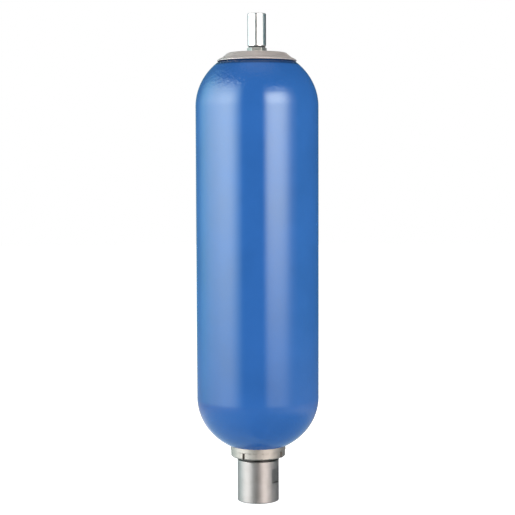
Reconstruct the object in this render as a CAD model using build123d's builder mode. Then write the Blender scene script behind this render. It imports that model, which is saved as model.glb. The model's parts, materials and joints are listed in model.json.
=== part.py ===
"""Bladder accumulator: a blue steel pressure vessel with a gas valve on top and a fluid port below.

The origin is the centre of the fluid port's bottom face, +Z points up and lengths are in millimetres.
"""

import os
from math import acos, asin, degrees, radians, sqrt, tan

from build123d import *

os.makedirs("parts", exist_ok=True)

# ---------------------------------------------------------------- driving dimensions
# Shared
RUNNING_CLEARANCE = 0.05
EDGE_BREAK = 0.6  # bevel on small turned edges
BEVEL = 1.0  # and on larger ones
NUT_CROWN = 0.48  # radius of a nut's chamfered face, as a share of its size across flats

# Pressure vessel
SHELL_RADIUS = 113.0
SHELL_WALL = 12.0
STRAIGHT_LOW = 194.0  # where the cylindrical wall starts
STRAIGHT_HIGH = 731.0  # and where it ends
CROWN_RISE = 105.0  # semi-axis of the upper end, outside
CAVITY_CROWN_RISE = 75.0  # and inside, so the neck is thicker than the wall
BASE_DROP = 102.5  # the same for the lower end
CAVITY_BASE_DROP = 74.0
CROWN_SEAT = 827.5  # flat machined on the crown
BASE_SEAT = 104.0  # flat machined round the port opening
STEM_HOLE_RADIUS = 11.4
STEM_SPOTFACE = 804.0
STEM_SPOTFACE_RADIUS = 31.0
PORT_HOLE_RADIUS = 46.0
RING_SEAT = 128.0  # inner seat of the anti-extrusion ring
RING_SEAT_RADIUS = 59.0

# Pieces on the crown
PLATE_THICKNESS = 2.0
PLATE_SHOULDER = (52.5, 0.0)  # corners of the plate's underside: radius, height above the seat
PLATE_FOOT = (62.3, -8.6)
PLATE_BRIM = (67.8, -11.0)
PLATE_EDGE = (72.4, -14.1)
PLATE_BENDS = (9.0, 4.0, 3.0)  # bend radii at the first three corners
NUT_FLATS = 32.0
NUT_HEIGHT = 9.5
CAP_RADIUS = 17.0
CAP_TOP = 900.5
CAP_CROWN = 5.0
CAP_BORE = 13.5
CAP_SEAL_HEIGHT = 1.8
CAP_SEAL_RADIUS = 15.2

# Gas stem and valve
STEM_RADIUS = 11.0
STEM_BORE = 5.0
STEM_SOCKET_RADIUS = 7.0
STEM_SOCKET_FLOOR = 840.0
STEM_TOP = 858.0
STEM_FLANGE_RADIUS = 26.0
STEM_FLANGE_HEIGHT = 6.0
VALVE_SEAL_HEIGHT = 1.5
VALVE_FLATS = 17.0
VALVE_HEX_HEIGHT = 5.5
VALVE_FOOT_GAP = 1.0  # between the plug's foot and the socket's floor
VALVE_BORE = 1.4
VALVE_NIPPLE_RADIUS = 6.0
VALVE_TOP = 886.0
CORE_RADIUS = 2.95
CORE_CHAMBER = 3.0
CORE_LOW = 868.0
CORE_BARREL = 12.0
CORE_KEY = 4.0
CORE_PIN_RADIUS = 0.8
CORE_PIN_PROUD = 1.5
CORE_TAIL = 2.5
CORE_DISC_RADIUS = 2.5
CORE_DISC_HEIGHT = 2.0
CORE_SPRING_SPACE = 7.0
CORE_SPRING_RADIUS = 2.1
CORE_SPRING_WIRE = 0.35
CORE_SPRING_TURNS = 5.0
GASKET_HEIGHT = 2.5
SEAL_CAP_RADIUS = 8.5
SEAL_CAP_CROWN = 3.0
SEAL_CAP_BEVEL = 1.5
SEAL_CAP_GAP = 1.0  # above the valve's hexagon
VALVE_SEAL_PLAY = 0.1

# Bladder
BLADDER_RADIUS = 98.5
BLADDER_WALL = 3.0
BLADDER_RISE = 71.0
BLADDER_LOW = 184.0
BLADDER_DROP = 72.0
BLADDER_COLLAR = 29.5
COLLAR_FLOOR = 7.0  # rubber under the stem's flange
COLLAR_GAP = 0.5  # between the collar and the shell

# Fluid port
PORT_RADIUS = 38.5
PORT_TOP = 77.0
PORT_EDGE = 2.0  # bevel of the port's foot
PORT_THREAD_RADIUS = 28.33  # crest of the internal G2 thread
PORT_THREAD_DEPTH = 36.0
PORT_MOUTH_BEVEL = 2.0
PORT_RELIEF_RADIUS = 30.0
PORT_RELIEF_LENGTH = 4.0
PORT_CHAMBER = 27.0
NECK_RADIUS = 40.0
NECK_GROOVE_RADIUS = 36.0
NECK_GROOVE_TOP = 83.5
NECK_BORE = 28.0
FLAT_ACROSS = 70.0
FLAT_LOW = 35.7
FLAT_HIGH = 62.5
FLAT_ANGLE = -24.0  # direction that one spanner flat faces, from +X
WEB_LOW = 64.0
WEB_HIGH = 78.0
GUIDE_TOP = 92.0
GUIDE_RADIUS = 12.0
FLOW_HOLES = 8
FLOW_HOLE_RADIUS = 5.0
FLOW_PITCH_RADIUS = 21.5
FLANGE_RADIUS = 45.0
FLANGE_LOW = 140.0
FLANGE_HIGH = 152.0
FLANGE_BEVEL = 1.5
SEAT_RADIUS = 33.0  # wide end of the 45 degree valve seat

# Poppet
LIFT = 16.0
SEAT_GAP = 0.3  # what is left between the closed poppet and its seat
POPPET_STEM_RADIUS = 7.0
BUSH_RADIUS = 9.0
BUSH_FLANGE = 2.0
BUSH_FLANGE_RADIUS = 11.0
BUSH_SHORT = 0.5  # how far the bush stays inside the web's lower face
POPPET_HEAD_RADIUS = 32.6
POPPET_FOOT = 53.0
POPPET_HUB = 6.0
POPPET_HUB_RADIUS = 11.0
POPPET_RIM = 2.5
POPPET_CROWN = 7.0
STOP_WASHER = 2.0
LOCK_NUT_HEIGHT = 7.5
LOCK_NUT_FLATS = 22.0
SPRING_RADIUS = 14.4
SPRING_WIRE = 1.6
SPRING_TURNS = 7.0

# Seal pack and ring nut
HALF_RING_RADIUS = 54.0
HALF_RING_GAP = 1.0  # each half stops this far short of the joint plane, counted double
RUBBER_RING_RADIUS = 58.5
RUBBER_LIP = 3.0  # how far it reaches over the halves and up the flange
RUBBER_SLOPE = 2.0
PACK_GAP = 0.3  # between the seal pack and both its walls
WASHER_HEIGHT = 3.0
O_RING_SECTION = 2.9
SPACER_RADIUS = 51.2
SPACER_LOW = 95.0
RING_NUT_RADIUS = 50.4
RING_NUT_LOW = 83.0
RING_NUT_BEVEL = 2.0
SLOTS = 4
SLOT_WIDTH = 5.5
SLOT_DEPTH = 5.0
SLOT_ANGLE = -122.0  # direction of the first slot, from +X

# Bleed screw
BLEED_HEIGHT = 49.0
BLEED_RECESS = 1.0
BLEED_RECESS_RADIUS = 7.0
BLEED_HOLE_DEPTH = 6.0
BLEED_THREAD_RADIUS = 4.0
BLEED_HEAD_RADIUS = 6.0
BLEED_HEAD_HEIGHT = 3.0
BLEED_SHANK = 6.5
BLEED_SEAL_HEIGHT = 1.0
BLEED_VENT_RADIUS = 1.5
BLEED_KEY = 5.0
BLEED_KEY_DEPTH = 2.0

CAVITY_RADIUS = SHELL_RADIUS - SHELL_WALL
bleed_seat = FLAT_ACROSS / 2 - BLEED_RECESS  # distance of the bleed screw's seat from the port's axis
bleed_axis = Axis.X.direction.rotate(Axis.Z, FLAT_ANGLE + 180)


# ---------------------------------------------------------------- helpers
def dome_height(radius, semi_radius, rise):
    """Height of a half ellipse above its centre at a given radius."""
    return rise * sqrt(1 - (radius / semi_radius) ** 2)


def dome_radius(height, semi_radius, rise):
    """Radius of a half ellipse at a given height above its centre."""
    return semi_radius * sqrt(1 - (height / rise) ** 2)


def dome_angle(radius, semi_radius):
    """Parameter of an ellipse, in degrees, at a given radius."""
    return degrees(acos(radius / semi_radius))


def upper_arc(centre, semi_radius, rise, radius=0.0):
    """The part of an upper half ellipse between its full width and a radius."""
    sweep_angle = dome_angle(radius, semi_radius)
    return EllipticalCenterArc((0, centre), semi_radius, rise, 0, arc_size=sweep_angle)


def lower_arc(centre, semi_radius, rise, radius=0.0):
    """The same for a lower half ellipse."""
    sweep_angle = dome_angle(radius, semi_radius)
    return EllipticalCenterArc((0, centre), semi_radius, rise, -sweep_angle, arc_size=sweep_angle)


def turned(points):
    """A turned piece: the closed outline of (radius, height) points, revolved about Z."""
    with BuildPart() as piece:
        with BuildSketch(Plane.XZ):
            with BuildLine():
                Polyline(*points, close=True)
            make_face()
        revolve(axis=Axis.Z)
    return piece


def ring(inner, outer, low, high):
    """A plain ring of rectangular section."""
    return turned([(inner, low), (outer, low), (outer, high), (inner, high)])


def hexagon(across, bore, low, high, crown):
    """A hexagon with a round bore and both its faces chamfered down to the radius crown."""
    corner = across / sqrt(3)
    bevel = (corner - crown) * tan(radians(30))
    with BuildPart() as piece:
        with BuildSketch(Plane.XY.offset(low)):
            RegularPolygon(corner, 6)
            Circle(bore, mode=Mode.SUBTRACT)
        extrude(amount=high - low)
        with BuildSketch(Plane.XZ):
            with BuildLine():
                Polyline(
                    (0, low),
                    (crown, low),
                    (corner, low + bevel),
                    (corner, high - bevel),
                    (crown, high),
                    (0, high),
                    close=True,
                )
            make_face()
        revolve(axis=Axis.Z, mode=Mode.INTERSECT)
    return piece


def coil(mean_radius, wire, low, high, turns):
    """An open coil spring of round wire standing between two heights."""
    with BuildPart() as piece:
        with BuildLine() as path:
            Helix(
                pitch=(high - low - 2 * wire) / turns,
                height=high - low - 2 * wire,
                radius=mean_radius,
                center=(0, 0, low + wire),
            )
        with BuildSketch(Plane(origin=path.line @ 0, z_dir=path.line % 0)):
            Circle(wire)
        sweep(path=path.line, is_frenet=True)
    return piece


def bleed_plane(distance):
    """The plane square to the bleed screw's axis at a distance from the port's axis."""
    return Plane(origin=bleed_axis * distance + Vector(0, 0, BLEED_HEIGHT), z_dir=bleed_axis)


# ---------------------------------------------------------------- shell
# One forging: straight wall, elliptical ends that thicken towards the two openings, machined seats.
crown_edge = dome_radius(CROWN_SEAT - STRAIGHT_HIGH, SHELL_RADIUS, CROWN_RISE)
base_edge = dome_radius(STRAIGHT_LOW - BASE_SEAT, SHELL_RADIUS, BASE_DROP)
spotface_edge = STRAIGHT_HIGH + dome_height(STEM_SPOTFACE_RADIUS, CAVITY_RADIUS, CAVITY_CROWN_RISE)
ring_seat_edge = STRAIGHT_LOW - dome_height(RING_SEAT_RADIUS, CAVITY_RADIUS, CAVITY_BASE_DROP)

with BuildPart() as shell:
    with BuildSketch(Plane.XZ):
        with BuildLine():
            lower_arc(STRAIGHT_LOW, SHELL_RADIUS, BASE_DROP, base_edge)
            Line((SHELL_RADIUS, STRAIGHT_LOW), (SHELL_RADIUS, STRAIGHT_HIGH))
            upper_arc(STRAIGHT_HIGH, SHELL_RADIUS, CROWN_RISE, crown_edge)
            Polyline(
                (crown_edge, CROWN_SEAT),
                (STEM_HOLE_RADIUS, CROWN_SEAT),
                (STEM_HOLE_RADIUS, STEM_SPOTFACE),
                (STEM_SPOTFACE_RADIUS, STEM_SPOTFACE),
                (STEM_SPOTFACE_RADIUS, spotface_edge),
            )
            upper_arc(STRAIGHT_HIGH, CAVITY_RADIUS, CAVITY_CROWN_RISE, STEM_SPOTFACE_RADIUS)
            Line((CAVITY_RADIUS, STRAIGHT_HIGH), (CAVITY_RADIUS, STRAIGHT_LOW))
            lower_arc(STRAIGHT_LOW, CAVITY_RADIUS, CAVITY_BASE_DROP, RING_SEAT_RADIUS)
            Polyline(
                (RING_SEAT_RADIUS, ring_seat_edge),
                (RING_SEAT_RADIUS, RING_SEAT),
                (PORT_HOLE_RADIUS, RING_SEAT),
                (PORT_HOLE_RADIUS, BASE_SEAT),
                (base_edge, BASE_SEAT),
            )
        make_face()
    revolve(axis=Axis.Z)
shell.part.label = "shell"
export_step(shell.part, "parts/shell.step")

# ---------------------------------------------------------------- crown plate
# A pressed disc: flat top, rounded shoulder, steep flank and a brim that ends just clear of the dome.
def above_seat(corner):
    """A corner of the plate's section, from (radius, height above the crown seat)."""
    return (corner[0], CROWN_SEAT + corner[1])


with BuildPart() as crown_plate:
    with BuildSketch(Plane.XZ):
        with BuildLine():
            FilletPolyline(
                (STEM_HOLE_RADIUS, CROWN_SEAT),
                above_seat(PLATE_SHOULDER),
                above_seat(PLATE_FOOT),
                above_seat(PLATE_BRIM),
                above_seat(PLATE_EDGE),
                radius=PLATE_BENDS,
            )
            offset(amount=PLATE_THICKNESS, side=Side.LEFT)
        make_face()
    revolve(axis=Axis.Z)
crown_plate.part.label = "crown_plate"
export_step(crown_plate.part, "parts/crown_plate.step")

# ---------------------------------------------------------------- nut, seal and cap on the crown
plate_top = CROWN_SEAT + PLATE_THICKNESS
nut_top = plate_top + NUT_HEIGHT
cap_low = nut_top + CAP_SEAL_HEIGHT

stem_lock_nut = hexagon(
    NUT_FLATS, STEM_RADIUS + RUNNING_CLEARANCE, plate_top, nut_top, NUT_CROWN * NUT_FLATS
)
stem_lock_nut.part.label = "stem_lock_nut"
export_step(stem_lock_nut.part, "parts/stem_lock_nut.step")

cap_seal_ring = ring(STEM_HOLE_RADIUS, CAP_SEAL_RADIUS, nut_top, cap_low)
cap_seal_ring.part.label = "cap_seal_ring"
export_step(cap_seal_ring.part, "parts/cap_seal_ring.step")

# The cap grips the stem at its foot, is bored wider above it and closed at the top.
with BuildPart() as protective_cap:
    with BuildSketch(Plane.XZ):
        with BuildLine():
            Polyline(
                (STEM_RADIUS + RUNNING_CLEARANCE, cap_low),
                (CAP_RADIUS - BEVEL, cap_low),
                (CAP_RADIUS, cap_low + BEVEL),
                (CAP_RADIUS, CAP_TOP - BEVEL),
                (CAP_RADIUS - BEVEL, CAP_TOP),
                (0, CAP_TOP),
                (0, CAP_TOP - CAP_CROWN),
                (CAP_BORE, CAP_TOP - CAP_CROWN),
                (CAP_BORE, STEM_TOP),
                (STEM_RADIUS + RUNNING_CLEARANCE, STEM_TOP),
                close=True,
            )
        make_face()
    revolve(axis=Axis.Z)
protective_cap.part.label = "protective_cap"
export_step(protective_cap.part, "parts/protective_cap.step")

# ---------------------------------------------------------------- gas stem
# A tube with a flange at its foot, bored out at the top for the gas valve.
flange_low = STEM_SPOTFACE - STEM_FLANGE_HEIGHT
bladder_stem = turned(
    [
        (STEM_BORE, flange_low),
        (STEM_FLANGE_RADIUS, flange_low),
        (STEM_FLANGE_RADIUS, STEM_SPOTFACE),
        (STEM_RADIUS, STEM_SPOTFACE),
        (STEM_RADIUS, STEM_TOP - BEVEL),
        (STEM_RADIUS - BEVEL, STEM_TOP),
        (STEM_SOCKET_RADIUS, STEM_TOP),
        (STEM_SOCKET_RADIUS, STEM_SOCKET_FLOOR),
        (STEM_BORE, STEM_SOCKET_FLOOR),
    ]
)
bladder_stem.part.label = "bladder_stem"
export_step(bladder_stem.part, "parts/bladder_stem.step")

# ---------------------------------------------------------------- bladder
# A bag of even wall with a thick collar moulded round the stem's flange.
bag_inner = BLADDER_RADIUS - BLADDER_WALL
bag_low_centre = BLADDER_LOW + BLADDER_DROP
collar_top = STEM_SPOTFACE - COLLAR_GAP
collar_floor = flange_low - COLLAR_FLOOR
collar_edge = STRAIGHT_HIGH + dome_height(BLADDER_COLLAR, BLADDER_RADIUS, BLADDER_RISE)
mouth_radius = dome_radius(collar_floor - STRAIGHT_HIGH, bag_inner, BLADDER_RISE - BLADDER_WALL)

with BuildPart() as bladder:
    with BuildSketch(Plane.XZ):
        with BuildLine():
            Polyline(
                (mouth_radius, collar_floor),
                (STEM_BORE, collar_floor),
                (STEM_BORE, flange_low),
                (STEM_FLANGE_RADIUS, flange_low),
                (STEM_FLANGE_RADIUS, collar_top),
                (BLADDER_COLLAR, collar_top),
                (BLADDER_COLLAR, collar_edge),
            )
            upper_arc(STRAIGHT_HIGH, BLADDER_RADIUS, BLADDER_RISE, BLADDER_COLLAR)
            Line((BLADDER_RADIUS, STRAIGHT_HIGH), (BLADDER_RADIUS, bag_low_centre))
            lower_arc(bag_low_centre, BLADDER_RADIUS, BLADDER_DROP)
            Line((0, BLADDER_LOW), (0, BLADDER_LOW + BLADDER_WALL))
            lower_arc(bag_low_centre, bag_inner, BLADDER_DROP - BLADDER_WALL)
            Line((bag_inner, bag_low_centre), (bag_inner, STRAIGHT_HIGH))
            upper_arc(STRAIGHT_HIGH, bag_inner, BLADDER_RISE - BLADDER_WALL, mouth_radius)
        make_face()
    revolve(axis=Axis.Z)
bladder.part.label = "bladder"
export_step(bladder.part, "parts/bladder.step")

# ---------------------------------------------------------------- charging valve
valve_hex_low = STEM_TOP + VALVE_SEAL_HEIGHT
valve_hex_high = valve_hex_low + VALVE_HEX_HEIGHT
valve_foot = STEM_SOCKET_FLOOR + VALVE_FOOT_GAP
chamber_floor = CORE_LOW - CORE_SPRING_SPACE - CORE_DISC_HEIGHT

charging_valve_seal = ring(
    STEM_SOCKET_RADIUS + VALVE_SEAL_PLAY, NUT_CROWN * VALVE_FLATS, STEM_TOP, valve_hex_low
)
charging_valve_seal.part.label = "charging_valve_seal"
export_step(charging_valve_seal.part, "parts/charging_valve_seal.step")

# Screwed plug below, hexagon in the middle, nipple above, one stepped bore through all three.
with BuildPart() as charging_valve_body:
    with BuildSketch(Plane.XY.offset(valve_foot)):
        Circle(STEM_SOCKET_RADIUS - RUNNING_CLEARANCE)
    extrude(amount=valve_hex_low - valve_foot)
    with BuildSketch(Plane.XY.offset(valve_hex_low)):
        RegularPolygon(VALVE_FLATS / sqrt(3), 6)
    extrude(amount=VALVE_HEX_HEIGHT)
    with BuildSketch(Plane.XY.offset(valve_hex_high)):
        Circle(VALVE_NIPPLE_RADIUS)
    extrude(amount=VALVE_TOP - valve_hex_high)
    chamfer(faces().sort_by(Axis.Z)[-1].edges(), length=EDGE_BREAK)
    with BuildSketch(Plane.XY.offset(VALVE_TOP)):
        Circle(CORE_CHAMBER)
    extrude(amount=chamber_floor - VALVE_TOP, mode=Mode.SUBTRACT)
    with BuildSketch(Plane.XY.offset(chamber_floor)):
        Circle(VALVE_BORE)
    extrude(amount=STEM_SOCKET_FLOOR - chamber_floor, mode=Mode.SUBTRACT)
charging_valve_body.part.label = "charging_valve_body"
export_step(charging_valve_body.part, "parts/charging_valve_body.step")

# The core's barrel has two flats at its top for the core key.
with BuildPart() as valve_core_body:
    with BuildSketch(Plane.XY.offset(CORE_LOW)):
        Circle(CORE_RADIUS)
    extrude(amount=CORE_BARREL)
    with BuildSketch(Plane.XY.offset(CORE_LOW + CORE_BARREL)):
        Circle(CORE_RADIUS)
        Rectangle(CORE_RADIUS, 2 * CORE_RADIUS, mode=Mode.INTERSECT)
    extrude(amount=CORE_KEY)
    with BuildSketch(Plane.XY.offset(CORE_LOW)):
        Circle(CORE_PIN_RADIUS + RUNNING_CLEARANCE)
    extrude(amount=CORE_BARREL + CORE_KEY, mode=Mode.SUBTRACT)
valve_core_body.part.label = "valve_core_body"
export_step(valve_core_body.part, "parts/valve_core_body.step")

core_top = CORE_LOW + CORE_BARREL + CORE_KEY
disc_low = CORE_LOW - CORE_DISC_HEIGHT
valve_core_pin = turned(
    [
        (0, disc_low - CORE_TAIL),
        (CORE_PIN_RADIUS, disc_low - CORE_TAIL),
        (CORE_PIN_RADIUS, disc_low),
        (CORE_DISC_RADIUS, disc_low),
        (CORE_DISC_RADIUS, CORE_LOW),
        (CORE_PIN_RADIUS, CORE_LOW),
        (CORE_PIN_RADIUS, core_top + CORE_PIN_PROUD),
        (0, core_top + CORE_PIN_PROUD),
    ]
)
valve_core_pin.part.label = "valve_core_pin"
export_step(valve_core_pin.part, "parts/valve_core_pin.step")

valve_core_spring = coil(CORE_SPRING_RADIUS, CORE_SPRING_WIRE, chamber_floor, disc_low, CORE_SPRING_TURNS)
valve_core_spring.part.label = "valve_core_spring"
export_step(valve_core_spring.part, "parts/valve_core_spring.step")

seal_cap_gasket = ring(CORE_CHAMBER, VALVE_NIPPLE_RADIUS - EDGE_BREAK, VALVE_TOP, VALVE_TOP + GASKET_HEIGHT)
seal_cap_gasket.part.label = "seal_cap_gasket"
export_step(seal_cap_gasket.part, "parts/seal_cap_gasket.step")

seal_cap_low = valve_hex_high + SEAL_CAP_GAP
seal_cap_floor = VALVE_TOP + GASKET_HEIGHT
seal_cap_top = seal_cap_floor + SEAL_CAP_CROWN
valve_seal_cap = turned(
    [
        (VALVE_NIPPLE_RADIUS + RUNNING_CLEARANCE, seal_cap_low),
        (SEAL_CAP_RADIUS, seal_cap_low),
        (SEAL_CAP_RADIUS, seal_cap_top - SEAL_CAP_BEVEL),
        (SEAL_CAP_RADIUS - SEAL_CAP_BEVEL, seal_cap_top),
        (0, seal_cap_top),
        (0, seal_cap_floor),
        (VALVE_NIPPLE_RADIUS + RUNNING_CLEARANCE, seal_cap_floor),
    ]
)
valve_seal_cap.part.label = "valve_seal_cap"
export_step(valve_seal_cap.part, "parts/valve_seal_cap.step")

# ---------------------------------------------------------------- port body
# Turned outside and in: threaded mouth, flow chamber, guide web, neck, thread relief and valve seat.
with BuildPart() as port_body:
    with BuildSketch(Plane.XZ):
        with BuildLine():
            Polyline(
                (PORT_THREAD_RADIUS + PORT_MOUTH_BEVEL, 0),
                (PORT_RADIUS - PORT_EDGE, 0),
                (PORT_RADIUS, PORT_EDGE),
                (PORT_RADIUS, PORT_TOP - BEVEL),
                (PORT_RADIUS - BEVEL, PORT_TOP),
                (NECK_GROOVE_RADIUS, PORT_TOP),
                (NECK_GROOVE_RADIUS, NECK_GROOVE_TOP),
                (NECK_RADIUS - BEVEL, NECK_GROOVE_TOP),
                (NECK_RADIUS, NECK_GROOVE_TOP + BEVEL),
                (NECK_RADIUS, FLANGE_LOW),
                (FLANGE_RADIUS, FLANGE_LOW),
                (FLANGE_RADIUS, FLANGE_HIGH - FLANGE_BEVEL),
                (FLANGE_RADIUS - FLANGE_BEVEL, FLANGE_HIGH),
                (SEAT_RADIUS, FLANGE_HIGH),
                (NECK_BORE, FLANGE_HIGH - SEAT_RADIUS + NECK_BORE),
                (NECK_BORE, WEB_HIGH),
                (GUIDE_RADIUS, WEB_HIGH),
                (GUIDE_RADIUS, GUIDE_TOP),
                (BUSH_RADIUS, GUIDE_TOP),
                (BUSH_RADIUS, WEB_LOW),
                (PORT_CHAMBER, WEB_LOW),
                (PORT_CHAMBER, PORT_THREAD_DEPTH + PORT_RELIEF_LENGTH + PORT_RELIEF_RADIUS - PORT_CHAMBER),
                (PORT_RELIEF_RADIUS, PORT_THREAD_DEPTH + PORT_RELIEF_LENGTH),
                (PORT_RELIEF_RADIUS, PORT_THREAD_DEPTH),
                (PORT_THREAD_RADIUS, PORT_THREAD_DEPTH),
                (PORT_THREAD_RADIUS, PORT_MOUTH_BEVEL),
                close=True,
            )
        make_face()
    revolve(axis=Axis.Z)
    # Flow holes through the web, round the guide
    with BuildSketch(Plane.XY.offset(WEB_LOW)):
        with PolarLocations(FLOW_PITCH_RADIUS, FLOW_HOLES):
            Circle(FLOW_HOLE_RADIUS)
    extrude(amount=WEB_HIGH - WEB_LOW, mode=Mode.SUBTRACT)
    # Two opposite spanner flats
    with BuildSketch(Plane.XY.offset(FLAT_LOW)):
        with Locations(Location((0, 0, 0), (0, 0, FLAT_ANGLE))):
            with GridLocations(FLAT_ACROSS + PORT_RADIUS, 1, 2, 1):
                Rectangle(PORT_RADIUS, 2 * PORT_RADIUS)
    extrude(amount=FLAT_HIGH - FLAT_LOW, mode=Mode.SUBTRACT)
    # Recess, thread hole and vent of the bleed screw, in the flat that faces away
    with BuildSketch(bleed_plane(bleed_seat)):
        Circle(BLEED_RECESS_RADIUS)
    extrude(amount=2 * BLEED_RECESS, mode=Mode.SUBTRACT)
    with BuildSketch(bleed_plane(bleed_seat)):
        Circle(BLEED_THREAD_RADIUS)
    extrude(amount=-BLEED_HOLE_DEPTH, mode=Mode.SUBTRACT)
    with BuildSketch(bleed_plane(bleed_seat)):
        Circle(BLEED_VENT_RADIUS)
    extrude(amount=-bleed_seat, mode=Mode.SUBTRACT)
port_body.part.label = "port_body"
export_step(port_body.part, "parts/port_body.step")

# ---------------------------------------------------------------- bleed screw
with BuildPart() as bleed_screw_seal:
    with BuildSketch(bleed_plane(bleed_seat)):
        Circle(BLEED_HEAD_RADIUS)
        Circle(BLEED_THREAD_RADIUS, mode=Mode.SUBTRACT)
    extrude(amount=BLEED_SEAL_HEIGHT)
bleed_screw_seal.part.label = "bleed_screw_seal"
export_step(bleed_screw_seal.part, "parts/bleed_screw_seal.step")

with BuildPart() as bleed_screw:
    with BuildSketch(bleed_plane(bleed_seat + BLEED_SEAL_HEIGHT)):
        Circle(BLEED_HEAD_RADIUS)
    extrude(amount=BLEED_HEAD_HEIGHT)
    chamfer(edges().filter_by(GeomType.CIRCLE).sort_by(Axis((0, 0, 0), bleed_axis))[-1], length=EDGE_BREAK)
    with BuildSketch(bleed_plane(bleed_seat + BLEED_SEAL_HEIGHT)):
        Circle(BLEED_THREAD_RADIUS - RUNNING_CLEARANCE)
    extrude(amount=-BLEED_SHANK)
    with BuildSketch(bleed_plane(bleed_seat + BLEED_SEAL_HEIGHT + BLEED_HEAD_HEIGHT)):
        RegularPolygon(BLEED_KEY / sqrt(3), 6)
    extrude(amount=-BLEED_KEY_DEPTH, mode=Mode.SUBTRACT)
bleed_screw.part.label = "bleed_screw"
export_step(bleed_screw.part, "parts/bleed_screw.step")

# ---------------------------------------------------------------- guide bush
guide_bush = turned(
    [
        (POPPET_STEM_RADIUS + RUNNING_CLEARANCE, WEB_LOW + BUSH_SHORT),
        (BUSH_RADIUS, WEB_LOW + BUSH_SHORT),
        (BUSH_RADIUS, GUIDE_TOP),
        (BUSH_FLANGE_RADIUS, GUIDE_TOP),
        (BUSH_FLANGE_RADIUS, GUIDE_TOP + BUSH_FLANGE),
        (POPPET_STEM_RADIUS + RUNNING_CLEARANCE, GUIDE_TOP + BUSH_FLANGE),
    ]
)
guide_bush.part.label = "guide_bush"
export_step(guide_bush.part, "parts/guide_bush.step")

# ---------------------------------------------------------------- poppet
# Modelled lifted off its seat: a mushroom head with a 45 degree seat face and a long guided stem.
head_low = FLANGE_HIGH - SEAT_RADIUS + NECK_BORE + LIFT + SEAT_GAP
head_rim = head_low + POPPET_HEAD_RADIUS - NECK_BORE
head_top = head_rim + POPPET_RIM + POPPET_CROWN
crown_radius = (POPPET_HEAD_RADIUS**2 + POPPET_CROWN**2) / (2 * POPPET_CROWN)
crown_centre = head_top - crown_radius
crown_angle = degrees(asin(POPPET_HEAD_RADIUS / crown_radius))
washer_low = WEB_LOW - STOP_WASHER
lock_nut_low = washer_low - LOCK_NUT_HEIGHT

with BuildPart() as poppet:
    with BuildSketch(Plane.XZ):
        with BuildLine():
            Polyline(
                (0, POPPET_FOOT),
                (POPPET_STEM_RADIUS - BEVEL, POPPET_FOOT),
                (POPPET_STEM_RADIUS, POPPET_FOOT + BEVEL),
                (POPPET_STEM_RADIUS, head_low - POPPET_HUB - POPPET_HUB_RADIUS + POPPET_STEM_RADIUS),
                (POPPET_HUB_RADIUS, head_low - POPPET_HUB),
                (POPPET_HUB_RADIUS, head_low),
                (NECK_BORE, head_low),
                (POPPET_HEAD_RADIUS, head_rim),
                (POPPET_HEAD_RADIUS, head_rim + POPPET_RIM),
            )
            CenterArc((0, crown_centre), crown_radius, 90 - crown_angle, arc_size=crown_angle)
            Line((0, head_top), (0, POPPET_FOOT))
        make_face()
    revolve(axis=Axis.Z)
poppet.part.label = "poppet"
export_step(poppet.part, "parts/poppet.step")

poppet_stop_washer = ring(POPPET_STEM_RADIUS, GUIDE_RADIUS, washer_low, WEB_LOW)
poppet_stop_washer.part.label = "poppet_stop_washer"
export_step(poppet_stop_washer.part, "parts/poppet_stop_washer.step")

poppet_lock_nut = hexagon(
    LOCK_NUT_FLATS, POPPET_STEM_RADIUS, lock_nut_low, washer_low, NUT_CROWN * LOCK_NUT_FLATS
)
poppet_lock_nut.part.label = "poppet_lock_nut"
export_step(poppet_lock_nut.part, "parts/poppet_lock_nut.step")

poppet_spring = coil(SPRING_RADIUS, SPRING_WIRE, WEB_HIGH, head_low, SPRING_TURNS)
poppet_spring.part.label = "poppet_spring"
export_step(poppet_spring.part, "parts/poppet_spring.step")

# ---------------------------------------------------------------- anti-extrusion ring
# Two steel halves pass the port opening one by one; the rubber ring holds them together.
for name, start in (("half_ring_front", 180), ("half_ring_rear", 0)):
    with BuildPart() as half_ring:
        with BuildSketch(Plane.XY.offset(RING_SEAT)):
            Circle(HALF_RING_RADIUS)
            Circle(NECK_RADIUS + PACK_GAP, mode=Mode.SUBTRACT)
            with Locations(Location((0, 0, 0), (0, 0, start))):
                Rectangle(
                    2 * HALF_RING_RADIUS,
                    HALF_RING_RADIUS,
                    align=(Align.CENTER, Align.MIN),
                    mode=Mode.INTERSECT,
                )
                Rectangle(2 * HALF_RING_RADIUS, HALF_RING_GAP, mode=Mode.SUBTRACT)
        extrude(amount=FLANGE_LOW - RING_SEAT)
    half_ring.part.label = name
    export_step(half_ring.part, f"parts/{name}.step")

anti_extrusion_ring = turned(
    [
        (HALF_RING_RADIUS, RING_SEAT),
        (RUBBER_RING_RADIUS, RING_SEAT),
        (RUBBER_RING_RADIUS, FLANGE_LOW - RUBBER_SLOPE),
        (HALF_RING_RADIUS, FLANGE_LOW + RUBBER_LIP),
        (FLANGE_RADIUS + PACK_GAP, FLANGE_LOW + RUBBER_LIP),
        (FLANGE_RADIUS + PACK_GAP, FLANGE_LOW),
        (HALF_RING_RADIUS, FLANGE_LOW),
    ]
)
anti_extrusion_ring.part.label = "anti_extrusion_ring"
export_step(anti_extrusion_ring.part, "parts/anti_extrusion_ring.step")

# ---------------------------------------------------------------- seal pack and rings round the neck
pack_inner = NECK_RADIUS + PACK_GAP
pack_outer = PORT_HOLE_RADIUS - PACK_GAP
washer_floor = RING_SEAT - WASHER_HEIGHT
backup_top = washer_floor - 2 * O_RING_SECTION
backup_floor = backup_top - WASHER_HEIGHT

flat_washer = ring(pack_inner, pack_outer, washer_floor, RING_SEAT)
flat_washer.part.label = "flat_washer"
export_step(flat_washer.part, "parts/flat_washer.step")

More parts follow.
